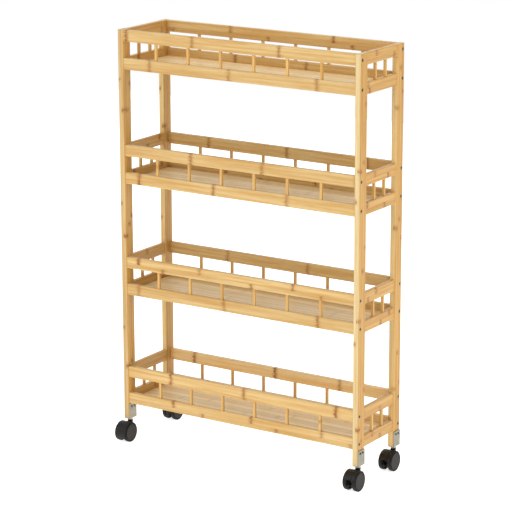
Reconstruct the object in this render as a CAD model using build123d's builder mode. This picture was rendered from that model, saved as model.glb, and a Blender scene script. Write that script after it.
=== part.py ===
"""Slim four-tier rolling utility cart: a bamboo frame of slatted trays on twin-wheel swivel casters.

All sizes are in millimetres. X runs along the trays, Y through the narrow depth, Z up.
The origin is on the floor under the middle of the cart.
"""

from build123d import *
import math
import os

os.makedirs("parts", exist_ok=True)

# ---------------------------------------------------------------- driving dimensions

# Frame
cart_width = 624
cart_depth = 182
post_length = 900
post_thickness = 14
post_depth = 28
post_edge_radius = 2
post_top_radius = 1.2
post_bottom = 54

# Rails, one stock for the long rails and the side rails
rail_thickness = 10
rail_height = 26
rail_edge_radius = 1.5
rail_recess = 2

# Tiers
tier_count = 4
tier_pitch = 258.5
rail_spacing = 62.75
top_rail_drop = 13

# Spindles
spindle_size = 6
spindle_edge_radius = 1
long_spindle_count = 6
side_spindle_count = 2
tenon_length = 6
mortise_gap = 0.1
mortise_spare = 1

# Shelf boards, held by a tongue in a groove of the lower rails
board_thickness = 6
board_lift = 2
tongue_thickness = 3
tongue_reach = 3.5
groove_depth = 4
board_gap = 0.4
groove_gap = 0.1

# Screws that pull the long rails against the posts
screw_radius = 2
screw_length = 46
screw_head_radius = 3.5
screw_head_height = 2.6
screw_head_recess = 0.4
screw_socket_radius = 1.8
screw_socket_depth = 1.6
screw_hole_gap = 0.1
screw_head_edge = 0.5
screw_pilot_spare = 2
counterbore_gap = 0.3

# Dowels that join the side rails to the posts
dowel_radius = 2.5
dowel_in_rail = 12
dowel_in_post = 10
dowel_gap = 0.05
dowel_spare = 1
dowel_offsets = (-1, 8)

# Caster brackets
bracket_sheet = 2
bracket_width = 26
bracket_height = 34
bracket_corner_radius = 2.5
bracket_bend_radius = 1.5
bracket_flange_setback = 1
bracket_hole_gap = 0.2
bracket_screw_height = 27
bracket_screw_spacing = 10
bracket_screw_radius = 1.5
bracket_screw_length = 13
bracket_pilot_depth = 12
bracket_screw_head_radius = 2.4
bracket_screw_head_height = 1.2
cross_slot_length = 2.8
cross_slot_width = 0.6
cross_slot_depth = 0.6

# Caster stems and washers
stem_radius = 3
stem_bottom = 20
stem_tenon_radius = 2.5
neck_radius = 5
neck_height = 3.5
washer_radius = 5.8
washer_thickness = 0.8

# Caster wheels and axles
wheel_radius = 22.25
wheel_inner_face = 7.4
wheel_outer_face = 16
wheel_cap_face = 16.5
wheel_cap_radius = 19.4
wheel_cap_edge = 0.5
wheel_groove_radius = 20.8
wheel_groove_depth = 1.6
wheel_hub_radius = 7
wheel_rim_radius = 18.6
wheel_hollow_depth = 3
tread_edge_radius = 1
trail = 17.5
axle_radius = 2.5
axle_half_length = 14.5
axle_tip_gap = 0.3
running_gap = 0.05

# Caster hoods; angles are measured about the axle from straight ahead, upwards
fender_inner_radius = 22.65
fender_outer_radius = 23.65
fender_half_width = 14.4
fender_edge_radius = 0.45
web_radius = 20.5
web_half_width = 6.8
web_overlap = 1
bridge_middle = 5
bridge_height = 30
boss_radius = 6
boss_bottom = 10
boss_gap = 0.3
boss_chamfer = 0.6
stem_tip_gap = 2
hood_floor_gap = 8
plain_front_angle = -32
braked_front_angle = 14
hood_rear_angle = 150
front_gap_radius = 14
front_gap_angles = (-72, 6)
cut_overrun = 1

# Brake levers
lever_half_width = 5.2
lever_slot_half_width = 5.5
lever_slot_radius = 9
lever_slot_angles = (-40, 84)
lever_slot_overrun = 5
lever_pivot = (6.6, 12.4)
lever_pivot_radius = 1.5
lever_trunnion_gap = 0.1
lever_eye_radius = 3.4
lever_arm_offset = (1.5, 3.5)
lever_arm_size = (7, 6)
pedal_inner_radius = 17
pedal_rise = 0.5
pedal_angles = (18, 78)
toe_inner_radius = 19
toe_rise = 1.5
toe_angles = (18, 32)

# ---------------------------------------------------------------- worked-out places

post_centre_x = cart_width / 2 - post_thickness / 2
post_centre_y = cart_depth / 2 - post_depth / 2
long_rail_length = cart_width - 2 * post_thickness
side_rail_length = cart_depth - 2 * post_depth
long_rail_y = cart_depth / 2 - rail_recess - rail_thickness / 2
rail_inner_y = long_rail_y - rail_thickness / 2
rail_inner_x = post_centre_x - rail_thickness / 2
post_top = post_bottom + post_length

upper_rail_z = [post_top - top_rail_drop - tier_pitch * (tier_count - 1 - i) for i in range(tier_count)]
lower_rail_z = [z - rail_spacing for z in upper_rail_z]

long_pitch = long_rail_length / (long_spindle_count + 1)
side_pitch = side_rail_length / (side_spindle_count + 1)
long_spindle_x = [long_pitch * (i + 1) - long_rail_length / 2 for i in range(long_spindle_count)]
side_spindle_y = [side_pitch * (i + 1) - side_rail_length / 2 for i in range(side_spindle_count)]

flange_bottom = post_bottom - bracket_sheet
neck_bottom = flange_bottom - neck_height
boss_top = neck_bottom - washer_thickness - boss_gap

mortise_side = spindle_size + 2 * mortise_gap
mortise_depth = tenon_length + mortise_spare
groove_height = tongue_thickness + 2 * groove_gap

# Corner names, with the post's side along X and Y, the way the caster trails, and its brake
corners = {
    "front_left": {"x": -1, "y": -1, "turn": 1, "braked": False},
    "front_right": {"x": 1, "y": -1, "turn": 1, "braked": True},
    "back_left": {"x": -1, "y": 1, "turn": -1, "braked": False},
    "back_right": {"x": 1, "y": 1, "turn": 1, "braked": True},
}


def save(piece, name):
    """Label a finished piece and write it as one STEP file."""
    piece.part.label = name
    export_step(piece.part, f"parts/{name}.step")


# ---------------------------------------------------------------- posts


def make_post(name, side_x, side_y):
    """One upright with its counterbored screw holes, dowel holes and bracket pilot holes."""
    x = side_x * post_centre_x
    y = side_y * post_centre_y
    outer_x = side_x * cart_width / 2
    inner_y = side_y * side_rail_length / 2
    rail_heights = lower_rail_z + upper_rail_z
    screw_planes = [
        Plane(origin=(outer_x, side_y * long_rail_y, z), z_dir=(side_x, 0, 0)) for z in rail_heights
    ]
    dowel_planes = [
        Plane(origin=(x, inner_y, z + offset), z_dir=(0, -side_y, 0))
        for z in rail_heights
        for offset in dowel_offsets
    ]
    with BuildPart() as post:
        with BuildSketch(Plane.XY.offset(post_bottom)):
            with Locations((x, y)):
                RectangleRounded(post_thickness, post_depth, post_edge_radius)
        extrude(amount=post_length)
        fillet(post.faces().sort_by(Axis.Z)[-1].edges(), radius=post_top_radius)
        with Locations(*screw_planes):
            CounterBoreHole(
                radius=screw_radius + screw_hole_gap,
                counter_bore_radius=screw_head_radius + counterbore_gap,
                counter_bore_depth=screw_head_height + screw_head_recess,
                depth=post_thickness,
            )
        with Locations(*dowel_planes):
            Hole(radius=dowel_radius + dowel_gap, depth=dowel_in_post + dowel_spare)
        with Locations(*bracket_screw_planes(side_x, side_y, 0)):
            Hole(radius=bracket_screw_radius, depth=bracket_pilot_depth)
    save(post, name)


def bracket_screw_planes(side_x, side_y, lift):
    """Planes of a bracket's two screws, on the post's +X face or lift above it."""
    face_x = side_x * post_centre_x + post_thickness / 2 + lift
    y = side_y * post_centre_y
    return [
        Plane(origin=(face_x, y + step, post_bottom + bracket_screw_height), z_dir=(1, 0, 0))
        for step in (-bracket_screw_spacing / 2, bracket_screw_spacing / 2)
    ]


for corner, place in corners.items():
    make_post(f"post_{corner}", place["x"], place["y"])

# ---------------------------------------------------------------- rails


def groove_centre(rail_z):
    """Height of the groove's middle in a lower rail."""
    return rail_z - rail_height / 2 + board_lift + tongue_thickness / 2


def mortise_centre(rail_z, is_lower):
    """Height of a mortise's middle, cut from the rail's edge that faces the spindles."""
    from_middle = rail_height / 2 - mortise_depth / 2
    return rail_z + from_middle if is_lower else rail_z - from_middle


def make_long_rail(name, side_y, rail_z, is_lower):
    """A front or back rail with mortises, end screw holes and, if lower, the board groove."""
    y = side_y * long_rail_y
    end_x = long_rail_length / 2
    mortise_z = mortise_centre(rail_z, is_lower)
    pilot_depth = screw_length + screw_head_recess - post_thickness + screw_pilot_spare
    with BuildPart() as rail:
        with BuildSketch(Plane.YZ.offset(-end_x)):
            with Locations((y, rail_z)):
                RectangleRounded(rail_thickness, rail_height, rail_edge_radius)
        extrude(amount=long_rail_length)
        with Locations(*[(x, y, mortise_z) for x in long_spindle_x]):
            Box(mortise_side, mortise_side, mortise_depth, mode=Mode.SUBTRACT)
        if is_lower:
            with Locations((0, side_y * rail_inner_y, groove_centre(rail_z))):
                Box(long_rail_length, 2 * groove_depth, groove_height, mode=Mode.SUBTRACT)
        with Locations(*[Plane(origin=(s * end_x, y, rail_z), z_dir=(s, 0, 0)) for s in (-1, 1)]):
            Hole(radius=screw_radius, depth=pilot_depth)
    save(rail, name)


def make_side_rails(name, lower_z, upper_z):
    """The four short rails of one tier, as separate bars."""
    end_y = side_rail_length / 2
    bars = [(s * post_centre_x, z) for s in (-1, 1) for z in (lower_z, upper_z)]
    mortises = [
        (s * post_centre_x, y, mortise_centre(z, z == lower_z))
        for s in (-1, 1)
        for z in (lower_z, upper_z)
        for y in side_spindle_y
    ]
    dowel_planes = [
        Plane(origin=(x, s * end_y, z + offset), z_dir=(0, s, 0))
        for x, z in bars
        for s in (-1, 1)
        for offset in dowel_offsets
    ]
    with BuildPart() as rails:
        with BuildSketch(Plane.XZ.offset(-end_y)):
            with Locations(*bars):
                RectangleRounded(rail_thickness, rail_height, rail_edge_radius)
        extrude(amount=side_rail_length)
        with Locations(*mortises):
            Box(mortise_side, mortise_side, mortise_depth, mode=Mode.SUBTRACT)
        with Locations(*[(s * rail_inner_x, 0, groove_centre(lower_z)) for s in (-1, 1)]):
            Box(2 * groove_depth, side_rail_length, groove_height, mode=Mode.SUBTRACT)
        with Locations(*dowel_planes):
            Hole(radius=dowel_radius + dowel_gap, depth=dowel_in_rail + dowel_spare)
    save(rails, name)


# ---------------------------------------------------------------- spindles and boards


def make_spindles(name, lower_z, upper_z):
    """The small square uprights between the upper and lower rails of one tier."""
    bottom = lower_z + rail_height / 2 - tenon_length
    top = upper_z - rail_height / 2 + tenon_length
    long_places = [(x, s * long_rail_y) for s in (-1, 1) for x in long_spindle_x]
    side_places = [(s * post_centre_x, y) for s in (-1, 1) for y in side_spindle_y]
    with BuildPart() as spindles:
        with BuildSketch(Plane.XY.offset(bottom)):
            with Locations(*long_places, *side_places):
                RectangleRounded(spindle_size, spindle_size, spindle_edge_radius)
        extrude(amount=top - bottom)
    save(spindles, name)


def make_board(name, lower_z):
    """A shelf board whose thin tongue runs in the rails' grooves and clears the four posts."""
    bottom = lower_z - rail_height / 2 + board_lift
    between_posts_x = long_rail_length - 2 * board_gap
    between_posts_y = side_rail_length - 2 * board_gap
    with BuildPart() as board:
        with BuildSketch(Plane.XY.offset(bottom)):
            Rectangle(between_posts_x, 2 * (rail_inner_y + tongue_reach))
            Rectangle(2 * (rail_inner_x + tongue_reach), between_posts_y)
        extrude(amount=tongue_thickness)
        with BuildSketch(Plane.XY.offset(bottom)):
            Rectangle(between_posts_x, 2 * (rail_inner_y - board_gap))
            Rectangle(2 * (rail_inner_x - board_gap), between_posts_y)
        extrude(amount=board_thickness)
    save(board, name)


for tier in range(tier_count):
    label = f"tier{tier + 1}"
    make_long_rail(f"{label}_front_lower_rail", -1, lower_rail_z[tier], True)
    make_long_rail(f"{label}_front_upper_rail", -1, upper_rail_z[tier], False)
    make_long_rail(f"{label}_back_lower_rail", 1, lower_rail_z[tier], True)
    make_long_rail(f"{label}_back_upper_rail", 1, upper_rail_z[tier], False)
    make_side_rails(f"{label}_side_rails", lower_rail_z[tier], upper_rail_z[tier])
    make_spindles(f"{label}_spindles", lower_rail_z[tier], upper_rail_z[tier])
    make_board(f"{label}_shelf_board", lower_rail_z[tier])

# ---------------------------------------------------------------- frame fasteners


def frame_screw_planes(depth):
    """Planes of all the frame screws, depth inside the outer faces of the posts."""
    return [
        Plane(origin=(side_x * (cart_width / 2 - depth), side_y * long_rail_y, z), z_dir=(side_x, 0, 0))
        for side_x in (-1, 1)
        for side_y in (-1, 1)
        for z in lower_rail_z + upper_rail_z
    ]


with BuildPart() as frame_screws:
    with BuildSketch(*frame_screw_planes(screw_head_recess)):
        Circle(screw_head_radius)
    extrude(amount=-screw_head_height)
    head_rims = frame_screws.edges().filter_by(GeomType.CIRCLE).group_by(lambda e: abs(e.center().X))[-1]
    fillet(head_rims, screw_head_edge)
    with BuildSketch(*frame_screw_planes(screw_head_recess + screw_head_height)):
        Circle(screw_radius)
    extrude(amount=-screw_length + screw_head_height)
    with BuildSketch(*frame_screw_planes(screw_head_recess)):
        RegularPolygon(screw_socket_radius, 6)
    extrude(amount=-screw_socket_depth, mode=Mode.SUBTRACT)
save(frame_screws, "frame_screws")

dowel_length = dowel_in_rail + dowel_in_post
dowel_centre_y = side_rail_length / 2 + (dowel_in_post - dowel_in_rail) / 2
dowel_places = [
    (side_x * post_centre_x, side_y * dowel_centre_y, z + offset)
    for side_x in (-1, 1)
    for side_y in (-1, 1)
    for z in lower_rail_z + upper_rail_z
    for offset in dowel_offsets
]
with BuildPart() as frame_dowels:
    with Locations(*dowel_places):
        Cylinder(dowel_radius, dowel_length, rotation=(90, 0, 0))
save(frame_dowels, "frame_dowels")

# ---------------------------------------------------------------- caster brackets


def make_bracket(name, side_x, side_y):
    """A bent steel angle: a plate on the post's +X face and a flange under the post."""
    x = side_x * post_centre_x
    y = side_y * post_centre_y
    face_x = x + post_thickness / 2
    flange_length = post_thickness + bracket_sheet - bracket_flange_setback
    with BuildPart() as bracket:
        with BuildSketch(Plane.XZ.offset(-(y + bracket_width / 2))):
            with Locations((face_x, flange_bottom)):
                Rectangle(bracket_sheet, bracket_height + bracket_sheet, align=(Align.MIN, Align.MIN))
            with Locations((face_x + bracket_sheet, flange_bottom)):
                Rectangle(flange_length, bracket_sheet, align=(Align.MAX, Align.MIN))
        extrude(amount=bracket_width)
        bend = bracket.edges().filter_by(Axis.Y).group_by(Axis.Z)[0].sort_by(Axis.X)[-1]
        fillet(bend, radius=bracket_bend_radius)
        corners_up = bracket.edges().filter_by(Axis.X).group_by(Axis.Z)[-1]
        fillet(corners_up, radius=bracket_corner_radius)
        with Locations(*bracket_screw_planes(side_x, side_y, bracket_sheet)):
            Hole(radius=bracket_screw_radius + bracket_hole_gap, depth=bracket_sheet)
        with Locations((x, y, post_bottom)):
            Hole(radius=stem_tenon_radius, depth=bracket_sheet)
    save(bracket, name)


for corner, place in corners.items():
    make_bracket(f"bracket_{corner}", place["x"], place["y"])


def all_bracket_screw_planes(lift):
    """Planes of every bracket screw, lift above the plate's outer face."""
    planes = []
    for place in corners.values():
        planes += bracket_screw_planes(place["x"], place["y"], bracket_sheet + lift)
    return planes


with BuildPart() as bracket_screws:
    with BuildSketch(*all_bracket_screw_planes(0)):
        Circle(bracket_screw_head_radius)
    extrude(amount=bracket_screw_head_height)
    with BuildSketch(*all_bracket_screw_planes(0)):
        Circle(bracket_screw_radius)
    extrude(amount=-bracket_screw_length)
    with BuildSketch(*all_bracket_screw_planes(bracket_screw_head_height)):
        Rectangle(cross_slot_length, cross_slot_width)
        Rectangle(cross_slot_width, cross_slot_length)
    extrude(amount=-cross_slot_depth, mode=Mode.SUBTRACT)
save(bracket_screws, "bracket_screws")

# ---------------------------------------------------------------- caster stems and washers

stem_places = [(p["x"] * post_centre_x, p["y"] * post_centre_y) for p in corners.values()]

with BuildPart() as caster_stems:
    with BuildSketch(Plane.XY.offset(stem_bottom)):
        with Locations(*stem_places):
            Circle(stem_radius)
    extrude(amount=neck_bottom - stem_bottom)
    with BuildSketch(Plane.XY.offset(neck_bottom)):
        with Locations(*stem_places):
            Circle(neck_radius)
    extrude(amount=neck_height)
    with BuildSketch(Plane.XY.offset(flange_bottom)):
        with Locations(*stem_places):
            Circle(stem_tenon_radius)
    extrude(amount=bracket_sheet)
save(caster_stems, "caster_stems")

with BuildPart() as swivel_washers:
    with BuildSketch(Plane.XY.offset(neck_bottom - washer_thickness)):
        with Locations(*stem_places):
            Circle(washer_radius)
            Circle(stem_radius + running_gap, mode=Mode.SUBTRACT)
    extrude(amount=washer_thickness)
save(swivel_washers, "swivel_washers")

# ---------------------------------------------------------------- caster hoods


def side_plane(place):
    """The plane through an axle's middle, across the axle: x the way the caster trails, y up."""
    turn = place["turn"]
    x = place["x"] * post_centre_x
    y = place["y"] * post_centre_y - turn * trail
    return Plane(origin=(x, y, wheel_radius), x_dir=(0, -turn, 0), z_dir=(-turn, 0, 0))


def sector(inner_radius, outer_radius, start, end):
    """A piece of a ring between two angles, as a sketch about the origin."""
    with BuildSketch() as piece:
        with BuildLine():
            outer_arc = CenterArc((0, 0), outer_radius, start, end - start)
            inner_arc = CenterArc((0, 0), inner_radius, start, end - start)
            Line(inner_arc @ 0, outer_arc @ 0)
            Line(inner_arc @ 1, outer_arc @ 1)
        make_face()
    return piece.sketch


def make_hood(name, place):
    """A caster's moulded body: fender over the wheels, web between them and boss for the stem.

    A braked hood stops higher at the front, with a slot and a pivot hole for the lever.
    """
    plane = side_plane(place)
    front_angle = braked_front_angle if place["braked"] else plain_front_angle
    fender = sector(fender_inner_radius, fender_outer_radius, front_angle, hood_rear_angle)
    rib = sector(web_radius - web_overlap, fender_outer_radius, front_angle, hood_rear_angle)
    slot_outer_radius = fender_outer_radius + lever_slot_overrun
    lever_slot = sector(lever_slot_radius, slot_outer_radius, *lever_slot_angles)
    front_gap = sector(front_gap_radius, web_radius + cut_overrun, *front_gap_angles)
    cut_half_width = web_half_width + cut_overrun
    stem_x = place["x"] * post_centre_x
    stem_y = place["y"] * post_centre_y
    with BuildPart() as hood:
        with BuildSketch(plane):
            add(fender)
        extrude(amount=fender_half_width, both=True)
        fillet(hood.edges().filter_by(GeomType.CIRCLE).sort_by(SortBy.RADIUS)[-2:], fender_edge_radius)
        with BuildSketch(plane):
            Circle(web_radius)
            with Locations((-trail / 2, bridge_middle)):
                Rectangle(trail, bridge_height)
            add(rib)
            with Locations((0, -wheel_radius)):
                Rectangle(4 * wheel_radius, 2 * hood_floor_gap, mode=Mode.SUBTRACT)
        extrude(amount=web_half_width, both=True)
        with BuildSketch(Plane.XY.offset(boss_bottom)):
            with Locations((stem_x, stem_y)):
                Circle(boss_radius)
        extrude(amount=boss_top - boss_bottom)
        chamfer(hood.faces().sort_by(Axis.Z)[-1].edges(), length=boss_chamfer)
        if place["braked"]:
            with BuildSketch(plane):
                add(lever_slot)
            extrude(amount=lever_slot_half_width, both=True, mode=Mode.SUBTRACT)
            with BuildSketch(plane):
                add(front_gap)
            extrude(amount=cut_half_width, both=True, mode=Mode.SUBTRACT)
            with BuildSketch(plane):
                with Locations(lever_pivot):
                    Circle(lever_pivot_radius + running_gap)
            extrude(amount=cut_half_width, both=True, mode=Mode.SUBTRACT)
        with BuildSketch(plane):
            Circle(axle_radius)
        extrude(amount=cut_half_width, both=True, mode=Mode.SUBTRACT)
        with Locations((stem_x, stem_y, boss_top)):
            Hole(radius=stem_radius + running_gap, depth=boss_top - stem_bottom + stem_tip_gap)
    save(hood, name)


def make_lever(name, place):
    """A brake lever: a curved pedal in the hood's slot, with an eye and two trunnions."""
    plane = side_plane(place)
    pedal = sector(pedal_inner_radius, fender_outer_radius + pedal_rise, *pedal_angles)
    toe = sector(toe_inner_radius, fender_outer_radius + toe_rise, *toe_angles)
    arm_middle = (lever_pivot[0] + lever_arm_offset[0], lever_pivot[1] + lever_arm_offset[1])
    with BuildPart() as lever:
        with BuildSketch(plane):
            add(pedal)
            add(toe)
            with Locations(lever_pivot):
                Circle(lever_eye_radius)
            with Locations(arm_middle):
                Rectangle(*lever_arm_size)
        extrude(amount=lever_half_width, both=True)
        with BuildSketch(plane):
            with Locations(lever_pivot):
                Circle(lever_pivot_radius)
        extrude(amount=web_half_width - lever_trunnion_gap, both=True)
    save(lever, name)


# ---------------------------------------------------------------- caster axles and wheels


def make_axle(name, place):
    """The steel pin pressed through the hood's web."""
    with BuildPart() as axle:
        with BuildSketch(side_plane(place)):
            Circle(axle_radius)
        extrude(amount=axle_half_length, both=True)
    save(axle, name)


def make_wheel(name, place, side_x):
    """One wheel, turned about the axle: hub, hollow inner face, rounded tread, cap in a groove."""
    x = place["x"] * post_centre_x
    y = place["y"] * post_centre_y - place["turn"] * trail
    profile_plane = Plane(origin=(x, y, wheel_radius), x_dir=(side_x, 0, 0), z_dir=(0, -side_x, 0))
    bore_radius = axle_radius + running_gap
    bore_end = axle_half_length + axle_tip_gap
    hollow_face = wheel_inner_face + wheel_hollow_depth
    groove_face = wheel_outer_face - wheel_groove_depth
    tread_shoulder = wheel_radius - tread_edge_radius
    round_middle = tread_edge_radius * (1 - math.sqrt(0.5))
    with BuildPart() as wheel:
        with BuildSketch(profile_plane):
            with BuildLine():
                Polyline(
                    (bore_end, 0),
                    (bore_end, bore_radius),
                    (wheel_inner_face, bore_radius),
                    (wheel_inner_face, wheel_hub_radius),
                    (hollow_face, wheel_hub_radius),
                    (hollow_face, wheel_rim_radius),
                    (wheel_inner_face, wheel_rim_radius),
                    (wheel_inner_face, tread_shoulder),
                )
                ThreePointArc(
                    (wheel_inner_face, tread_shoulder),
                    (wheel_inner_face + round_middle, wheel_radius - round_middle),
                    (wheel_inner_face + tread_edge_radius, wheel_radius),
                )
                Line(
                    (wheel_inner_face + tread_edge_radius, wheel_radius),
                    (wheel_outer_face - tread_edge_radius, wheel_radius),
                )
                ThreePointArc(
                    (wheel_outer_face - tread_edge_radius, wheel_radius),
                    (wheel_outer_face - round_middle, wheel_radius - round_middle),
                    (wheel_outer_face, tread_shoulder),
                )
                Polyline(
                    (wheel_outer_face, tread_shoulder),
                    (wheel_outer_face, wheel_groove_radius),
                    (groove_face, wheel_groove_radius),
                    (groove_face, wheel_cap_radius),
                    (wheel_cap_face - wheel_cap_edge, wheel_cap_radius),
                    (wheel_cap_face, wheel_cap_radius - wheel_cap_edge),
                    (wheel_cap_face, 0),
                    (bore_end, 0),
                )
            make_face()
        revolve(axis=Axis((x, y, wheel_radius), (1, 0, 0)))
    save(wheel, name)


for corner, place in corners.items():
    make_hood(f"hood_{corner}", place)
    make_axle(f"axle_{corner}", place)
    make_wheel(f"wheel_{corner}_left", place, -1)
    make_wheel(f"wheel_{corner}_right", place, 1)
    if place["braked"]:
        make_lever(f"brake_lever_{corner}", place)
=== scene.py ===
# %% [markdown]
# # A slim bamboo rolling cart
# The cart is a frame of square bamboo posts and flat bamboo rails, with a shelf board in each of its
# trays and four small twin-wheel casters. The frame already exists as a finished model with its
# joints, so this lesson only gives it its looks. The finished model is loaded first, and every new
# piece is made in the same metres, so nothing has to be fitted afterwards.

# %% Load the finished model
import math
import bpy
from mathutils import Matrix, Vector


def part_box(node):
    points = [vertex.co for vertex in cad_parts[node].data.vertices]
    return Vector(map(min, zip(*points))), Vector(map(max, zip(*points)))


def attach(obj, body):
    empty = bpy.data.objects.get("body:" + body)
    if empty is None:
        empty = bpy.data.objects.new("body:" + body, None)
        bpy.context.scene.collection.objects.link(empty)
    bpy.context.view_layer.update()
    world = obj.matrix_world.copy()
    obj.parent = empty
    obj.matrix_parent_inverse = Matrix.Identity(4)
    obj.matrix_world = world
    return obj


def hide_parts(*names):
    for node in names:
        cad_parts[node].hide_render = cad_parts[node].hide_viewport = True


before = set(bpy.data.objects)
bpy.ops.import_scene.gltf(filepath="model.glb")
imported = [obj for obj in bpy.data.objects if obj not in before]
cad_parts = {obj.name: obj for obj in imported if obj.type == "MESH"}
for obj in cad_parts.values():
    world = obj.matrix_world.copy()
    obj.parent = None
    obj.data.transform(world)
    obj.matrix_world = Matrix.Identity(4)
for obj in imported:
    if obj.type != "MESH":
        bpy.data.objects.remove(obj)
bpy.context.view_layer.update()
mm = 0.001
corners = ("front_left", "front_right", "back_left", "back_right")
tiers = (1, 2, 3, 4)

# %% [markdown]
# ## The camera
# A long lens from far away keeps the posts nearly parallel. The camera is set by how far it has gone
# round the cart, how high it looks down from and how far away it is, because those three are easy to
# judge. Its aim is a point near the middle of the posts, moved a little sideways and down so that the
# casters stay in the frame.

# %% Place the camera
camera_azimuth = math.radians(33.07)
camera_elevation = math.radians(14.57)
camera_roll = math.radians(-0.144)
camera_distance = 5.138
camera_aim_height = 0.504
camera_slide_right = -0.0032
camera_slide_up = -0.0449
camera_lens_length = 162.1
camera_film_width = 36

back = Vector((
    math.sin(camera_azimuth) * math.cos(camera_elevation),
    -math.cos(camera_azimuth) * math.cos(camera_elevation),
    math.sin(camera_elevation),
))
right = (-back).cross(Vector((0, 0, 1))).normalized()
up = back.cross(right)
camera_data = bpy.data.cameras.new("studio_camera")
camera_data.lens = camera_lens_length
camera_data.sensor_width = camera_film_width
camera_data.dof.use_dof = False
camera = bpy.data.objects.new("studio_camera", camera_data)
bpy.context.scene.collection.objects.link(camera)
turned = Matrix((right, up, back)).transposed().to_4x4() @ Matrix.Rotation(camera_roll, 4, "Z")
aim = Vector((0, 0, camera_aim_height)) + right * camera_slide_right + up * camera_slide_up
camera.matrix_world = Matrix.Translation(aim + back * camera_distance) @ turned
bpy.context.scene.camera = camera
print("camera at", [round(v, 2) for v in camera.location])

# %% [markdown]
# ## Floor and light
# Pale bamboo looks best in a white room. The floor is one large sheet, which is staged, so that it is
# never taken for a part of the cart. A few large soft lamps give the faces their different brightness:
# the front is the brightest, the right side is a little deeper in tone, and the inside of the trays
# stays warm. Lamps as large as these leave no hard shadow.

# %% Lay the floor
floor_half_size = 3.5
floor_mesh = bpy.data.meshes.new("studio_floor")
floor_mesh.from_pydata(
    [(x * floor_half_size, y * floor_half_size, 0) for x, y in ((-1, -1), (1, -1), (1, 1), (-1, 1))],
    [],
    [(0, 1, 2, 3)],
)
floor = bpy.data.objects.new("studio_floor", floor_mesh)
bpy.context.scene.collection.objects.link(floor)

# %% Hang the lamps
cart_middle = Vector((0, 0, 0.5))


def add_lamp(name, place, size, power):
    """A square soft lamp that faces the cart: its side in metres and its power in watts."""
    lamp_data = bpy.data.lights.new(name, "AREA")
    lamp_data.shape = "SQUARE"
    lamp_data.size = size
    lamp_data.energy = power
    lamp = bpy.data.objects.new(name, lamp_data)
    lamp.location = place
    lamp.rotation_euler = (cart_middle - Vector(place)).to_track_quat("-Z", "Y").to_euler()
    bpy.context.scene.collection.objects.link(lamp)


add_lamp("front_softbox", place=(-1.1, -3.1, 2.4), size=2.4, power=37)
add_lamp("right_softbox", place=(2.3, -0.9, 1.2), size=1.2, power=10)
add_lamp("top_softbox", place=(0.3, 0.2, 3.4), size=2.2, power=4)
add_lamp("back_softbox", place=(-1.5, 3.0, 1.6), size=2.0, power=10)
bpy.context.scene.view_settings.view_transform = "Standard"
print("hung the lamps round", tuple(cart_middle))

# %% [markdown]
# ## Tools for the materials
# A colour is easiest to pick as the code that a paint picker shows, but a shader wants light and not
# paint codes, so one function turns one into the other. A second function adds one node to a material,
# with its settings and its links, and every material below is made with it.


# %% Colour and node helpers
def paint(code):
    """A colour code such as "E9C98F", by the sRGB curve, as linear red, green, blue and alpha."""
    parts = [int(code[i : i + 2], 16) / 255 for i in (0, 2, 4)]
    return (*[c / 12.92 if c <= 0.04045 else ((c + 0.055) / 1.055) ** 2.4 for c in parts], 1)


def add_node(tree, kind, sockets=None, **settings):
    """Add a node. Each socket gets a value or, if given another node's output, a link."""
    node = tree.nodes.new(kind)
    for name, value in settings.items():
        setattr(node, name, value)
    for key, value in (sockets or {}).items():
        if isinstance(value, bpy.types.NodeSocket):
            tree.links.new(value, node.inputs[key])
        else:
            node.inputs[key].default_value = value
    return node


def new_material(name):
    """An empty node material and its tree."""
    material = bpy.data.materials.new(name)
    material.use_nodes = True
    material.node_tree.nodes.clear()
    return material, material.node_tree


def put_on(obj, material):
    """Give an object this one material, and leave its mesh alone."""
    obj.data.materials.clear()
    obj.data.materials.append(material)


# %% [markdown]
# ### The white room
# The world is an even white glow. It is a little weaker on the cart than it looks behind it, so the
# ground stays pure white while the wood keeps its depth of tone. The floor is a light table: a pale
# matt sheet that glows a little from within, which leaves only a faint shadow at the wheels.

# %% White room
glow_behind_cart = 1.0
glow_on_cart = 0.88
table_glow = 0.75
table_white = paint("E6E6E6")
table_roughness = 0.9
table_gloss = 0.1

world = bpy.data.worlds.new("white_room")
world.use_nodes = True
world.node_tree.nodes.clear()
rays = add_node(world.node_tree, "ShaderNodeLightPath")
glow_strength = add_node(world.node_tree, "ShaderNodeMapRange",
                         {"Value": rays.outputs["Is Camera Ray"], "To Min": glow_on_cart,
                          "To Max": glow_behind_cart})
glow = add_node(world.node_tree, "ShaderNodeBackground",
                {"Color": (1, 1, 1, 1), "Strength": glow_strength.outputs[0]})
add_node(world.node_tree, "ShaderNodeOutputWorld", {"Surface": glow.outputs[0]})
bpy.context.scene.world = world

floor_material, tree = new_material("white_light_table")
shader = add_node(tree, "ShaderNodeBsdfPrincipled",
                  {"Base Color": table_white, "Roughness": table_roughness,
                   "Specular IOR Level": table_gloss, "Emission Color": (1, 1, 1, 1),
                   "Emission Strength": table_glow})
add_node(tree, "ShaderNodeOutputMaterial", {"Surface": shader.outputs[0]})
put_on(floor, floor_material)
print("lit the room at", glow_behind_cart, "behind the cart and", glow_on_cart, "on it")

# %% [markdown]
# ## Bamboo
# Bamboo lumber is glued up from long flat strips, most of them as wide as a thumb or two. Three things
# make it look like bamboo and not like wood: fine straight fibres along the strip, a dark knuckle
# across the strip every hand or two, where the cane had a joint, and a faint line where two strips
# meet. The fibres are drawn coarser than real ones, so that they show from far away. A satin lacquer
# goes over it all. The pattern is built once, as a node group that takes a place measured along the
# grain, and every piece then only says where its middle is and how it lies.

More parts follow.
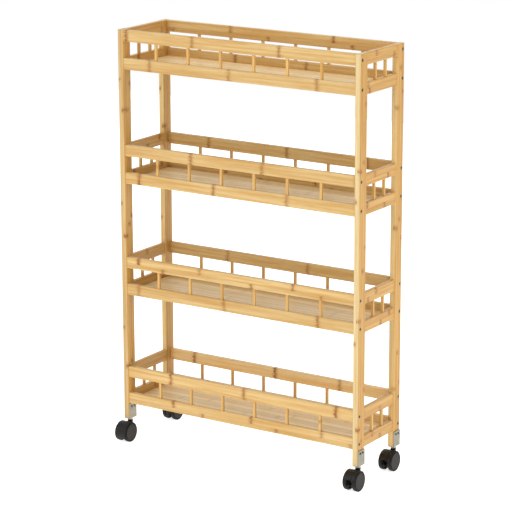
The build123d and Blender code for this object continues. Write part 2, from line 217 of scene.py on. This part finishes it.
# %% The bamboo pattern
fibre_width = 0.8 * mm
fibre_length = 40 * mm
streak_width = 6 * mm
streak_length = 220 * mm
knuckle_half_width = 11 * mm
knuckle_core_half_width = 5.5 * mm
knuckle_wander = 4 * mm
pore_size = 0.8 * mm
knuckle_blotch_size = (6 * mm, 3 * mm, 3 * mm)
knuckle_halo_share = 0.42
knuckle_patch_share = (0.25, 0.8)
faintest_knuckle = 0.55
knuckle_place_in_step = (0.34, 0.66)
fibre_share_at_most = 0.45
seam_darkness = 0.55
pore_darkness = 0.6
pore_darkness_between = 0.1
pore_edge = (0.15, 0.45)
dark_fibres = (0.52, 0.75)
streak_raggedness = 0.72
middle_of_noise = (0.38, 0.62)
most_of_noise = (0.25, 0.75)
strip_jump_reach = (0.7, 0.31, 0.53)
satin_roughness = (0.36, 0.52)
seam_height = -1.2
knuckle_height = 0.8

bamboo = bpy.data.node_groups.new("bamboo_strips", "ShaderNodeTree")
for socket_name, socket_type in (
    ("Place", "NodeSocketVector"),
    ("Strips per metre", "NodeSocketVector"),
    ("Strip shift", "NodeSocketVector"),
    ("Knuckle spacing", "NodeSocketFloat"),
    ("Knuckle strength", "NodeSocketFloat"),
    ("Strip contrast", "NodeSocketFloat"),
    ("Seam half width", "NodeSocketFloat"),
    ("End grain", "NodeSocketFloat"),
    ("Light", "NodeSocketColor"),
    ("Deep", "NodeSocketColor"),
    ("Knuckle", "NodeSocketColor"),
):
    bamboo.interface.new_socket(socket_name, in_out="INPUT", socket_type=socket_type)
for socket_name, socket_type in (
    ("Color", "NodeSocketColor"),
    ("Roughness", "NodeSocketFloat"),
    ("Height", "NodeSocketFloat"),
):
    bamboo.interface.new_socket(socket_name, in_out="OUTPUT", socket_type=socket_type)
given = add_node(bamboo, "NodeGroupInput").outputs

# Which strip a point is in, and how far it is from the nearest seam
in_strips = add_node(bamboo, "ShaderNodeVectorMath",
                     {0: given["Place"], 1: given["Strips per metre"], 2: given["Strip shift"]},
                     operation="MULTIPLY_ADD")
strip = add_node(bamboo, "ShaderNodeVectorMath", {0: in_strips.outputs[0]}, operation="FLOOR")
strip_luck = add_node(bamboo, "ShaderNodeTexWhiteNoise", {"Vector": strip.outputs[0]},
                      noise_dimensions="3D")
luck = add_node(bamboo, "ShaderNodeSeparateColor", {0: strip_luck.outputs["Color"]})
across = add_node(bamboo, "ShaderNodeVectorMath", {0: in_strips.outputs[0]}, operation="FRACTION")
from_middle = add_node(bamboo, "ShaderNodeVectorMath", {0: across.outputs[0], 1: (0.5, 0.5, 0.5)},
                       operation="SUBTRACT")
from_middle = add_node(bamboo, "ShaderNodeVectorMath", {0: from_middle.outputs[0]},
                       operation="ABSOLUTE")
to_seam = add_node(bamboo, "ShaderNodeVectorMath", {0: (0.5, 0.5, 0.5), 1: from_middle.outputs[0]},
                   operation="SUBTRACT")
to_seam = add_node(bamboo, "ShaderNodeVectorMath",
                   {0: to_seam.outputs[0], 1: given["Strips per metre"]}, operation="DIVIDE")
to_seam = add_node(bamboo, "ShaderNodeSeparateXYZ", {0: to_seam.outputs[0]})
seam = add_node(bamboo, "ShaderNodeMath", {0: to_seam.outputs["Y"], 1: to_seam.outputs["Z"]},
                operation="MINIMUM")
seam = add_node(bamboo, "ShaderNodeMapRange",
                {"Value": seam.outputs[0], "From Min": 0.0, "From Max": given["Seam half width"],
                 "To Min": 1.0, "To Max": 0.0})

# How far a point is from its strip's nearest knuckle, along the grain
along = add_node(bamboo, "ShaderNodeSeparateXYZ", {0: given["Place"]}).outputs["X"]
step = add_node(bamboo, "ShaderNodeMath", {0: along, 1: given["Knuckle spacing"]},
                operation="DIVIDE")
step = add_node(bamboo, "ShaderNodeMath", {0: step.outputs[0], 1: luck.outputs["Red"]},
                operation="ADD")
step_number = add_node(bamboo, "ShaderNodeMath", {0: step.outputs[0]}, operation="FLOOR")
step_luck = add_node(bamboo, "ShaderNodeTexWhiteNoise",
                     {"Vector": strip.outputs[0], "W": step_number.outputs[0]},
                     noise_dimensions="4D")
step_shift = add_node(bamboo, "ShaderNodeMapRange",
                      {"Value": step_luck.outputs["Value"], "To Min": knuckle_place_in_step[0],
                       "To Max": knuckle_place_in_step[1]})
from_knuckle = add_node(bamboo, "ShaderNodeMath", {0: step.outputs[0]}, operation="FRACT")
from_knuckle = add_node(bamboo, "ShaderNodeMath",
                        {0: from_knuckle.outputs[0], 1: step_shift.outputs[0]}, operation="SUBTRACT")
from_knuckle = add_node(bamboo, "ShaderNodeMath",
                        {0: from_knuckle.outputs[0], 1: given["Knuckle spacing"]},
                        operation="MULTIPLY")
blotch_place = add_node(bamboo, "ShaderNodeMapping",
                        {"Vector": given["Place"], "Scale": [1 / size for size in knuckle_blotch_size]})
blotch = add_node(bamboo, "ShaderNodeTexNoise",
                  {"Vector": blotch_place.outputs[0], "Scale": 1.0, "Detail": 3.0})
wander = add_node(bamboo, "ShaderNodeMapRange",
                  {"Value": blotch.outputs[0], "From Min": most_of_noise[0],
                   "From Max": most_of_noise[1], "To Min": -knuckle_wander,
                   "To Max": knuckle_wander})
from_knuckle = add_node(bamboo, "ShaderNodeMath",
                        {0: from_knuckle.outputs[0], 1: wander.outputs[0]}, operation="ADD")
from_knuckle = add_node(bamboo, "ShaderNodeMath", {0: from_knuckle.outputs[0]},
                        operation="ABSOLUTE")
halo = add_node(bamboo, "ShaderNodeMapRange",
                {"Value": from_knuckle.outputs[0], "From Max": knuckle_half_width,
                 "To Min": 1.0, "To Max": 0.0}, interpolation_type="SMOOTHSTEP")
core = add_node(bamboo, "ShaderNodeMapRange",
                {"Value": from_knuckle.outputs[0], "From Max": knuckle_core_half_width,
                 "To Min": 1.0, "To Max": 0.0}, interpolation_type="SMOOTHSTEP")
patchy = add_node(bamboo, "ShaderNodeMapRange",
                  {"Value": blotch.outputs[0], "From Min": middle_of_noise[0],
                   "From Max": middle_of_noise[1], "To Min": knuckle_patch_share[0],
                   "To Max": knuckle_patch_share[1]})
knuckle = add_node(bamboo, "ShaderNodeMath", {0: core.outputs[0], 1: patchy.outputs[0]},
                   operation="MULTIPLY")
knuckle = add_node(bamboo, "ShaderNodeMath",
                   {0: halo.outputs[0], 1: knuckle_halo_share, 2: knuckle.outputs[0]},
                   operation="MULTIPLY_ADD", use_clamp=True)
strength = add_node(bamboo, "ShaderNodeMapRange",
                    {"Value": step_luck.outputs["Value"], "To Min": faintest_knuckle, "To Max": 1.0})
knuckle = add_node(bamboo, "ShaderNodeMath", {0: knuckle.outputs[0], 1: strength.outputs[0]},
                   operation="MULTIPLY")
knuckle = add_node(bamboo, "ShaderNodeMath",
                   {0: knuckle.outputs[0], 1: given["Knuckle strength"]}, operation="MULTIPLY")

# Fibres and broader streaks, both stretched along the grain and different in every strip
strip_jump = add_node(bamboo, "ShaderNodeVectorMath",
                      {0: strip_luck.outputs["Color"], 1: strip_jump_reach}, operation="MULTIPLY")
fibre_place = add_node(bamboo, "ShaderNodeVectorMath",
                       {0: given["Place"], 1: strip_jump.outputs[0]}, operation="ADD")
fibre_scaled = add_node(bamboo, "ShaderNodeMapping",
                        {"Vector": fibre_place.outputs[0],
                         "Scale": (1 / fibre_length, 1 / fibre_width, 1 / fibre_width)})
fibres = add_node(bamboo, "ShaderNodeTexNoise",
                  {"Vector": fibre_scaled.outputs[0], "Scale": 1.0, "Detail": 2.0})
streak_scaled = add_node(bamboo, "ShaderNodeMapping",
                         {"Vector": fibre_place.outputs[0],
                          "Scale": (1 / streak_length, 1 / streak_width, 1 / streak_width)})
streaks = add_node(bamboo, "ShaderNodeTexNoise",
                   {"Vector": streak_scaled.outputs[0], "Scale": 1.0, "Detail": 4.0,
                    "Roughness": streak_raggedness})
streak_share = add_node(bamboo, "ShaderNodeMapRange",
                        {"Value": streaks.outputs[0], "From Min": middle_of_noise[0],
                         "From Max": middle_of_noise[1]})
tone = add_node(bamboo, "ShaderNodeMix",
                {0: streak_share.outputs[0], 6: given["Light"], 7: given["Deep"]},
                data_type="RGBA")
fibre_share = add_node(bamboo, "ShaderNodeMapRange",
                       {"Value": fibres.outputs[0], "From Min": dark_fibres[0],
                        "From Max": dark_fibres[1], "To Min": 0.0, "To Max": fibre_share_at_most})
tone = add_node(bamboo, "ShaderNodeMix",
                {0: fibre_share.outputs[0], 6: tone.outputs[2], 7: given["Deep"]},
                data_type="RGBA")
strip_dark = add_node(bamboo, "ShaderNodeMath",
                      {0: luck.outputs["Blue"], 1: given["Strip contrast"]}, operation="MULTIPLY")
strip_tone = add_node(bamboo, "ShaderNodeMath", {0: 1.0, 1: strip_dark.outputs[0]},
                      operation="SUBTRACT")
tone = add_node(bamboo, "ShaderNodeVectorMath",
                {0: tone.outputs[2], "Scale": strip_tone.outputs[0]}, operation="SCALE")
tone = add_node(bamboo, "ShaderNodeMix",
                {0: knuckle.outputs[0], 6: tone.outputs[0], 7: given["Knuckle"]},
                data_type="RGBA")
seam_share = add_node(bamboo, "ShaderNodeMath", {0: seam.outputs[0], 1: seam_darkness},
                      operation="MULTIPLY", use_clamp=True)
tone = add_node(bamboo, "ShaderNodeMix",
                {0: seam_share.outputs[0], 6: tone.outputs[2], 7: given["Knuckle"]},
                data_type="RGBA")

# Sawn ends show the fibres end on, as a field of small dark dots
pore_place = add_node(bamboo, "ShaderNodeMapping",
                      {"Vector": given["Place"], "Scale": (0, 1 / pore_size, 1 / pore_size)})
pores = add_node(bamboo, "ShaderNodeTexVoronoi", {"Vector": pore_place.outputs[0], "Scale": 1.0})
pore_share = add_node(bamboo, "ShaderNodeMapRange",
                      {"Value": pores.outputs["Distance"], "From Min": pore_edge[0],
                       "From Max": pore_edge[1], "To Min": pore_darkness,
                       "To Max": pore_darkness_between})
pore_share = add_node(bamboo, "ShaderNodeMath", {0: pore_share.outputs[0], 1: given["End grain"]},
                      operation="MULTIPLY")
tone = add_node(bamboo, "ShaderNodeMix",
                {0: pore_share.outputs[0], 6: tone.outputs[2], 7: given["Knuckle"]},
                data_type="RGBA")

roughness = add_node(bamboo, "ShaderNodeMapRange",
                     {"Value": fibres.outputs[0], "To Min": satin_roughness[0],
                      "To Max": satin_roughness[1]})
height = add_node(bamboo, "ShaderNodeMath",
                  {0: seam.outputs[0], 1: seam_height, 2: fibres.outputs[0]}, operation="MULTIPLY_ADD")
height = add_node(bamboo, "ShaderNodeMath",
                  {0: halo.outputs[0], 1: knuckle_height, 2: height.outputs[0]}, operation="MULTIPLY_ADD")
add_node(bamboo, "NodeGroupOutput",
         {"Color": tone.outputs[2], "Roughness": roughness.outputs[0], "Height": height.outputs[0]})
print("bamboo pattern has", len(bamboo.nodes), "nodes")

# %% [markdown]
# ### One bamboo finish for each stick
# A cane never gives two strips alike, so every stick gets a finish of its own, made from the same
# pattern. The Mapping node moves the pattern to the middle of the stick and turns it so that the
# fibres run along it. The lacquer is thin and satin: it hides no fibre, and it gives the edges a soft
# light line and never a mirror.


# %% The finish for one stick
lie_along_x = (0, 0, 0)
lie_along_y = (0, 0, math.radians(90))
lie_along_z = (0, math.radians(-90), 0)
lie_flat = (math.radians(90), 0, 0)
light_bamboo = paint("D2B47B")
deep_bamboo = paint("BE9250")
knuckle_brown = paint("8A5013")
fibre_bump = 0.05 * mm
fibre_bump_strength = 0.6
lacquer_gloss = 0.25
lacquer_coat = 0.08
lacquer_coat_roughness = 0.3
faces_sideways = 0.5
faces_the_end = 0.7


def bamboo_finish(name, middle, lie, strip_height, strip_depth, shift, knuckle_spacing,
                  light=light_bamboo, deep=deep_bamboo, knuckle_colour=knuckle_brown,
                  knuckle_strength=1.0, strip_contrast=0.08,
                  seam_width=0.5 * mm, end_axis=None, shaded_side_light=None, shaded_side_deep=None):
    """A lacquered bamboo finish centred on a stick's middle, its fibres lying as asked.

    Strip height and depth are measured across the grain, and shift moves the strips' seams.
    A side colour is painted shade: a deeper tone for the faces to the left and right.
    """
    material, tree = new_material("lacquered_bamboo_" + name)
    place = add_node(tree, "ShaderNodeTexCoord")
    facing = add_node(tree, "ShaderNodeSeparateXYZ", {0: place.outputs["Normal"]})
    # Faces turned left and right get the side colours, which are painted shade.
    if shaded_side_light:
        sideways = add_node(tree, "ShaderNodeMath", {0: facing.outputs["X"]}, operation="ABSOLUTE")
        sideways = add_node(tree, "ShaderNodeMath", {0: sideways.outputs[0], 1: faces_sideways},
                            operation="GREATER_THAN")
        light, deep = (
            add_node(tree, "ShaderNodeMix", {0: sideways.outputs[0], 6: plain, 7: side},
                     data_type="RGBA").outputs[2]
            for plain, side in ((light, shaded_side_light), (deep, shaded_side_deep))
        )
    turned = add_node(tree, "ShaderNodeMapping",
                      {"Vector": place.outputs["Object"], "Location": middle, "Rotation": lie},
                      vector_type="TEXTURE")
    sockets = {
        "Place": turned.outputs[0],
        "Strips per metre": (0, 1 / strip_depth, 1 / strip_height),
        "Strip shift": shift,
        "Knuckle spacing": knuckle_spacing,
        "Knuckle strength": knuckle_strength,
        "Strip contrast": strip_contrast,
        "Seam half width": seam_width / 2,
        "End grain": 0.0,
        "Light": light,
        "Deep": deep,
        "Knuckle": knuckle_colour,
    }
    if end_axis:
        sockets["End grain"] = add_node(tree, "ShaderNodeMath",
                                        {0: facing.outputs[end_axis], 1: faces_the_end},
                                        operation="GREATER_THAN").outputs[0]
    pattern = add_node(tree, "ShaderNodeGroup", sockets, node_tree=bamboo)
    bump = add_node(tree, "ShaderNodeBump",
                    {"Height": pattern.outputs["Height"], "Distance": fibre_bump,
                     "Strength": fibre_bump_strength})
    shader = add_node(tree, "ShaderNodeBsdfPrincipled",
                      {"Base Color": pattern.outputs["Color"],
                       "Roughness": pattern.outputs["Roughness"],
                       "Normal": bump.outputs[0], "Specular IOR Level": lacquer_gloss,
                       "Coat Weight": lacquer_coat, "Coat Roughness": lacquer_coat_roughness})
    add_node(tree, "ShaderNodeOutputMaterial", {"Surface": shader.outputs[0]})
    return material


def middle_of(node):
    """The middle of a finished piece."""
    low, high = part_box(node)
    return (low + high) / 2


# %% [markdown]
# ### The posts
# A post is glued up from strips that stand on edge, so its narrow front and its broad side show the
# cane cut two ways. The sides are given a deeper, more orange tone, which is painted shade: they get
# less light than the front. Each post gets its own pair of tones, because no two lengths of cane are
# alike. The tops are sawn ends, where the fibres show as small dark dots.

# %% Lacquer the posts
post_depth_strip = 9.8 * mm
post_width_strip = 9 * mm
post_knuckle_spacing = 0.31
post_tones = {
    "front_left": ("C9AC79", "B6935C"),
    "front_right": ("D8C394", "C6A972"),
    "back_left": ("DCBF86", "C9A363"),
    "back_right": ("DCC088", "CAA567"),
}
for number, corner in enumerate(corners):
    node = "post_" + corner
    light_tone, deep_tone = post_tones[corner]
    # The side colours on the faces turned left and right are painted shade.
    put_on(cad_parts[node],
           bamboo_finish(node, middle_of(node), lie_along_z, post_width_strip, post_depth_strip,
                         (number * 7.0, 0.5, 0.0), post_knuckle_spacing, end_axis="Z",
                         light=paint(light_tone), deep=paint(deep_tone),
                         shaded_side_light=paint("CDA35D"), shaded_side_deep=paint("BA863C")))
print("lacquered", len(corners), "posts")

# %% [markdown]
# ### The rails and spindles
# Most rails are one strip high, so a knuckle crosses the whole rail. One rail in four is glued up from
# two strips, and its knuckles stop at the seam. The back rails of the lowest tray are given paler
# tones, which is painted light: it makes up for the cart's own shade on them. The side rails, which
# face left and right, are given a deeper, warmer tone, which is painted shade. The thin spindles are
# one strip each, with no seam.

# %% Lacquer the rails
one_strip = (34 * mm, 0.5)
two_strips = (18 * mm, 0.12)
rail_strips = (one_strip, one_strip, two_strips, one_strip)
rail_depth_strip = 12 * mm
side_rail_strip = 15.69 * mm
spindle_strip = (40 * mm, 42 * mm)
hairline = 0.01 * mm
long_rail_knuckle_spacing = 0.215
side_rail_knuckle_spacing = 0.15
spindle_knuckle_spacing = 0.4
# Paler tones for the lowest back rails are painted light, to make up for the cart's own shade on them.
painted_fill_tones = {"light": paint("EACD95"), "deep": paint("DEB06C")}
for tier in tiers:
    for number, side in enumerate(("front_upper", "front_lower", "back_upper", "back_lower")):
        node = f"tier{tier}_{side}_rail"
        strip, seam_shift = rail_strips[(tier + number) % len(rail_strips)]
        tones = painted_fill_tones if tier == 1 and "back" in side else {}
        put_on(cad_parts[node],
               bamboo_finish(node, middle_of(node), lie_along_x, strip, rail_depth_strip,
                             (tier * 11.0 + number * 3.0, 0.5, seam_shift),
                             long_rail_knuckle_spacing, **tones))
    # The side rails' deeper, warmer tone is painted shade for parts that face left and right.
    node = f"tier{tier}_side_rails"
    put_on(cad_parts[node],
           bamboo_finish(node, middle_of(node), lie_along_y, side_rail_strip, rail_depth_strip,
                         (tier * 13.0, 0.5, 0.0), side_rail_knuckle_spacing,
                         light=paint("CFA866"), deep=paint("BC8944")))
    node = f"tier{tier}_spindles"
    put_on(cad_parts[node],
           bamboo_finish(node, middle_of(node), lie_along_z, *spindle_strip,
                         (tier * 17.0, 0.5, 0.5), spindle_knuckle_spacing, seam_width=hairline,
                         light=paint("D6AF6C"), deep=paint("C2924C")))
print("lacquered the rails and spindles of", len(tiers), "tiers")

# %% [markdown]
# ## Shelf boards
# Each shelf is a thin board glued up from eight flat bamboo strips, and the joints between the strips
# show as fine dark grooves. A long strip is a box with its edges softened by a bevel, and it is copied
# side by side, so that the grooves are real ones. The two strips along the edges are shorter, to clear
# the posts. The thin tongues that run in the rails' grooves are shaped last. The board is made once, in
# the lowest tray.

# %% Shape one strip and glue up the boards
board_strips = 8
edge_strip_length = 595.2 * mm
inner_strip_length = 598.2 * mm
end_tongue_width = 125.2 * mm
tongue_thickness = 3 * mm
tongue_reach = 3.9 * mm
strip_edge_round = 0.45 * mm
tongue_edge_round = 0.3 * mm


def deselect_all():
    """Leave nothing selected, so that an operator acts only on what is picked next."""
    bpy.ops.object.select_all(action="DESELECT")


def pick(obj):
    """Select one object and make it the active one."""
    deselect_all()
    obj.select_set(True)
    bpy.context.view_layer.objects.active = obj


def settle(obj):
    """Put an object's place and size into its mesh."""
    pick(obj)
    bpy.ops.object.transform_apply(location=True, rotation=True, scale=True)


def add_box(name, low, high):
    """A box between two corners, made from the cube primitive."""
    deselect_all()
    size = Vector(high) - Vector(low)
    bpy.ops.mesh.primitive_cube_add(size=1, location=(Vector(low) + Vector(high)) / 2)
    box = bpy.context.active_object
    box.name = name
    box.data.name = name
    box.scale = size
    settle(box)
    return box


def soften(obj, width, segments=2, angle=40):
    """Round an object's sharp edges with a bevel that is applied."""
    pick(obj)
    bevel = obj.modifiers.new("soften", "BEVEL")
    bevel.width = width
    bevel.segments = segments
    bevel.limit_method = "ANGLE"
    bevel.angle_limit = math.radians(angle)
    bpy.ops.object.modifier_apply(modifier=bevel.name)


def copy_to(obj, name, shift):
    """A copy with a mesh of its own, moved by shift."""
    twin = obj.copy()
    twin.data = obj.data.copy()
    twin.name = name
    twin.data.name = name
    twin.data.transform(Matrix.Translation(shift))
    bpy.context.scene.collection.objects.link(twin)
    return twin


def join(parts, name):
    """Join several objects into one with a new name."""
    deselect_all()
    for part in parts:
        part.select_set(True)
    bpy.context.view_layer.objects.active = parts[0]
    bpy.ops.object.join()
    parts[0].name = name
    parts[0].data.name = name
    return parts[0]


def strip_row(name, length, first, count, pitch, low, high):
    """A row of strips side by side: one is shaped and the others are copies of it."""
    near = low.y + tongue_reach + first * board_strip
    strip = add_box(name, (-length / 2, near, low.z), (length / 2, near + board_strip, high.z))
    soften(strip, strip_edge_round)
    return [strip] + [copy_to(strip, f"{name}_{number}", (0, number * pitch, 0))
                      for number in range(1, count)]


def glue_up_board(low, high):
    """The lowest shelf board: six long strips, a shorter one along each edge, and the tongues."""
    strips = strip_row("inner_strip", inner_strip_length, 1, board_strips - 2, board_strip, low, high)
    strips += strip_row("edge_strip", edge_strip_length, 0, 2, (board_strips - 1) * board_strip,
                        low, high)
    tongue_top = low.z + tongue_thickness
    side_tongue = add_box("side_tongue", (-edge_strip_length / 2, low.y, low.z),
                          (edge_strip_length / 2, high.y, tongue_top))
    end_tongue = add_box("end_tongue", (low.x, -end_tongue_width / 2, low.z),
                         (high.x, end_tongue_width / 2, tongue_top))
    for tongue in (side_tongue, end_tongue):
        soften(tongue, tongue_edge_round)
    return join([*strips, side_tongue, end_tongue], "bamboo_board")


board_low, board_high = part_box("tier1_shelf_board")
board_strip = (board_high.y - board_low.y - 2 * tongue_reach) / board_strips
pattern_board = glue_up_board(board_low, board_high)
print("one board:", len(pattern_board.data.polygons), "faces")

# %% [markdown]
# ### A board in each tray
# The finished board is copied up into each tray with a mesh of its own, and the first one is thrown
# away. A board is given paler tones than the rails, which is painted light: they stand in for the pale
# sheen that the lacquered top shows at a low angle and for light that the lamps bring only weakly into
# the lower trays. Its knuckles are faint, and its strips differ in tone, which shows as long parallel
# lines.

# %% Lay a board in each tray
board_strip_depth = 12 * mm
board_knuckle_spacing = 0.26
board_seam_width = 2.4 * mm
for tier in tiers:
    node = f"tier{tier}_shelf_board"
    low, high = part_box(node)
    board = copy_to(pattern_board, f"bamboo_board_tier{tier}", (0, 0, low.z - board_low.z))
    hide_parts(node)
    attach(board, "frame")
    # The pale board tones are painted light, for the sheen and light on the boards' tops.
    put_on(board, bamboo_finish(f"board_tier{tier}", (low + high) / 2, lie_flat,
                                board_strip, board_strip_depth, (tier * 19.0, 0.5, 0.0),
                                board_knuckle_spacing,
                                light=paint("FFE8B8"), deep=paint("F8D293"),
                                knuckle_strength=0.25, strip_contrast=0.2,
                                seam_width=board_seam_width))
bpy.data.objects.remove(pattern_board)
print("laid", len(tiers), "boards")

# %% [markdown]
# ## Metal and plastic
# The small parts are metal and moulded plastic. What tells them apart is how bright they are, how
# sharp their shine is and how coarse their grain is, so one function makes all of these finishes from
# those values. A fine noise raises the grain, and a broader one of the same kind makes the tone and
# the shine a little uneven, as on a part that has been handled.


# %% A finish with an even grain
broad_grain_ratio = 12
shine_spread = 0.08
grain_bump_strength = 0.5
broad_grain_range = (0.3, 0.7)
ring_edge = 0.3 * mm


def grained_finish(name, colour, dark, metallic, roughness, grain, bump_height, contrast=0.5,
                   gloss=0.5, ring=None):
    """A finish with a fine even grain: its size in metres, and how high it stands.

    A ring is the middle of a wheel, a radius, and the colour outside that radius: a painted shadow ring.
    """
    material, tree = new_material(name)
    place = add_node(tree, "ShaderNodeTexCoord")
    fine = add_node(tree, "ShaderNodeTexNoise",
                    {"Vector": place.outputs["Object"], "Scale": 1 / grain, "Detail": 2.0})
    broad = add_node(tree, "ShaderNodeTexNoise",
                     {"Vector": place.outputs["Object"], "Scale": 1 / (broad_grain_ratio * grain),
                      "Detail": 3.0})
    share = add_node(tree, "ShaderNodeMapRange",
                     {"Value": broad.outputs[0], "From Min": broad_grain_range[0],
                      "From Max": broad_grain_range[1], "To Min": 0.0, "To Max": contrast})
    tone = add_node(tree, "ShaderNodeMix", {0: share.outputs[0], 6: paint(colour), 7: paint(dark)},
                    data_type="RGBA")
    # The ring is painted shade: a dark colour outside a radius from the wheel's axle.
    if ring:
        middle, radius, ring_colour = ring
        from_middle = add_node(tree, "ShaderNodeVectorMath",
                               {0: place.outputs["Object"], 1: middle}, operation="SUBTRACT")
        across = add_node(tree, "ShaderNodeVectorMath",
                          {0: from_middle.outputs[0], 1: (0, 1, 1)}, operation="MULTIPLY")
        reach = add_node(tree, "ShaderNodeVectorMath", {0: across.outputs[0]}, operation="LENGTH")
        outside = add_node(tree, "ShaderNodeMapRange",
                           {"Value": reach.outputs["Value"], "From Min": radius,
                            "From Max": radius + ring_edge})
        tone = add_node(tree, "ShaderNodeMix",
                        {0: outside.outputs[0], 6: tone.outputs[2], 7: paint(ring_colour)},
                        data_type="RGBA")
    rough = add_node(tree, "ShaderNodeMapRange",
                     {"Value": broad.outputs[0], "To Min": roughness - shine_spread,
                      "To Max": roughness + shine_spread})
    bump = add_node(tree, "ShaderNodeBump",
                    {"Height": fine.outputs[0], "Distance": bump_height,
                     "Strength": grain_bump_strength})
    shader = add_node(tree, "ShaderNodeBsdfPrincipled",
                      {"Base Color": tone.outputs[2], "Metallic": metallic,
                       "Roughness": rough.outputs[0], "Normal": bump.outputs[0],
                       "Specular IOR Level": gloss})
    add_node(tree, "ShaderNodeOutputMaterial", {"Surface": shader.outputs[0]})
    return material


# %% [markdown]
# ### Plates, screws and pins
# The plates under the posts are galvanised sheet. The sunk screws are darker than the plates, so they
# read as small dots, and the pins that carry the casters are bright. The washers and the dowels hardly
# show, but each still has the finish of the real thing.

# %% Finish the plates, screws and pins
# Galvanised sheet is a dull warm grey with a faint blotch, and it never mirrors the room
galvanised = grained_finish("galvanised_steel_sheet", "9A978A", "807D71", metallic=1.0,
                            roughness=0.42, grain=1.2 * mm, bump_height=0.02 * mm)
# Bright zinc plate is smooth and pale, with a sharper shine than the sheet
zinc = grained_finish("bright_zinc_plate", "C4C5C2", "A5A6A2", metallic=1.0, roughness=0.3,
                      grain=0.8 * mm, bump_height=0.01 * mm)
# Darkened zinc is a deep grey, which makes a screw head a dark dot in pale wood
dark_zinc = grained_finish("dark_zinc_screws", "5C6666", "454D4E", metallic=1.0, roughness=0.34,
                           grain=0.8 * mm, bump_height=0.01 * mm)
# Nylon without a dye is a milky off-white with a soft shine
natural_nylon = grained_finish("natural_nylon_washer", "D8D3C6", "C8C3B5", metallic=0.0,
                               roughness=0.5, grain=0.5 * mm, bump_height=0.01 * mm)
# Bare beech is a plain pinkish tan with a fine fleck, and it is quite matt
beech = grained_finish("plain_beech_dowel", "D3AE7C", "BE9560", metallic=0.0, roughness=0.6,
                       grain=0.5 * mm, bump_height=0.05 * mm)

put_on(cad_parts["frame_screws"], dark_zinc)
put_on(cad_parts["bracket_screws"], dark_zinc)
put_on(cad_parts["caster_stems"], zinc)
put_on(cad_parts["swivel_washers"], natural_nylon)
put_on(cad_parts["frame_dowels"], beech)
for corner in corners:
    put_on(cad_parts["bracket_" + corner], galvanised)
    put_on(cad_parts["axle_" + corner], zinc)
print("finished the plates, screws and pins")

# %% [markdown]
# ### The casters
# A caster is moulded in black nylon, with the fine even grain that a sandblasted mould leaves. Each of
# its two wheels has a hard cap, and round the cap a near-black ring is painted: it is painted shade, for
# the shadow in the gap between the hood and the wheel. The ring is drawn by its distance from the axle,
# so each wheel gets a finish of its own, centred on its own axle, and keeps it when the caster swivels.

# %% Finish the casters
wheel_cap_radius = 19.2 * mm
# Outside the cap radius each wheel is painted near-black: painted shade for the gap between hood and
# wheel.
gap_shadow_black = "060504"
# Moulded black nylon is nearly black and rather matt, so it shows only a soft grey light on its rounds
black_nylon = grained_finish("moulded_black_nylon", "1C1813", "100E0B", metallic=0.0,
                             roughness=0.42, grain=0.45 * mm, bump_height=0.05 * mm, gloss=0.22)


def wheel_finish(wheel):
    """A wheel's cap in hard black plastic, a little paler than the hood, with a painted shadow ring round
    it.
    """
    return grained_finish("moulded_black_" + wheel, "1F1B16", "14110D", metallic=0.0,
                          roughness=0.48, grain=0.6 * mm, bump_height=0.03 * mm, gloss=0.25,
                          ring=(middle_of(wheel), wheel_cap_radius, gap_shadow_black))


for corner in corners:
    put_on(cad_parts["hood_" + corner], black_nylon)
    for side in ("left", "right"):
        wheel = f"wheel_{corner}_{side}"
        put_on(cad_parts[wheel], wheel_finish(wheel))
    if f"brake_lever_{corner}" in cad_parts:
        put_on(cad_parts["brake_lever_" + corner], black_nylon)
print("finished", len(corners), "casters")
